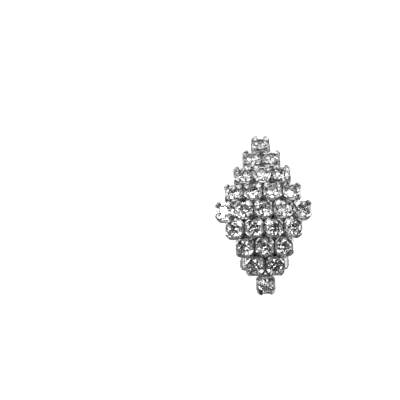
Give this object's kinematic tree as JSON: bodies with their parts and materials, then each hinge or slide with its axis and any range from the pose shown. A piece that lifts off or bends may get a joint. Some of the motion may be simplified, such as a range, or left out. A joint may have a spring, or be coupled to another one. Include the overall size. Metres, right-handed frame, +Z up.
{
  "type": "clip-on earring",
  "caption": "Clip-on earring: a domed diamond of four-prong cups set with round cut crystals, on a hinged ear clip; it lies face up on the clip.",
  "frame": {"origin": "on the surface that the earring lies on, under the middle of its bounding box", "axes": "+X along the rows of stones, +Y towards the single top stone at the clip lever's free end, +Z up, out of the face"},
  "size_m": [0.0192, 0.0325, 0.0098],
  "materials": {
    "setting_metal": "bright silver-white plating",
    "clip_metal": "bright silver-white plating, lightly worn",
    "crystal": "clear cut crystal, mirror-backed pavilion"
  },
  "bodies": {
    "clip": {"clip_lever": "clip_metal"},
    "front": {"setting": "setting_metal", "hinge_pin": "clip_metal", "stone_1_1": "crystal", "stone_2_1": "crystal", "stone_2_2": "crystal", "stone_3_1": "crystal", "stone_3_2": "crystal", "stone_3_3": "crystal", "stone_4_1": "crystal", "stone_4_2": "crystal", "stone_4_3": "crystal", "stone_4_4": "crystal", "stone_5_1": "crystal", "stone_5_2": "crystal", "stone_5_3": "crystal", "stone_5_4": "crystal", "stone_5_5": "crystal", "stone_6_1": "crystal", "stone_6_2": "crystal", "stone_6_3": "crystal", "stone_6_4": "crystal", "stone_7_1": "crystal", "stone_7_2": "crystal", "stone_7_3": "crystal", "stone_8_1": "crystal", "stone_8_2": "crystal", "stone_9_1": "crystal"}
  },
  "joints": [
    {"name": "clip_hinge", "type": "hinge", "parent": "clip", "child": "front", "pos_m": [0, -0.0092, 0.00136], "axis": [1, 0, 0], "range_deg": [0, 40]}
  ]
}
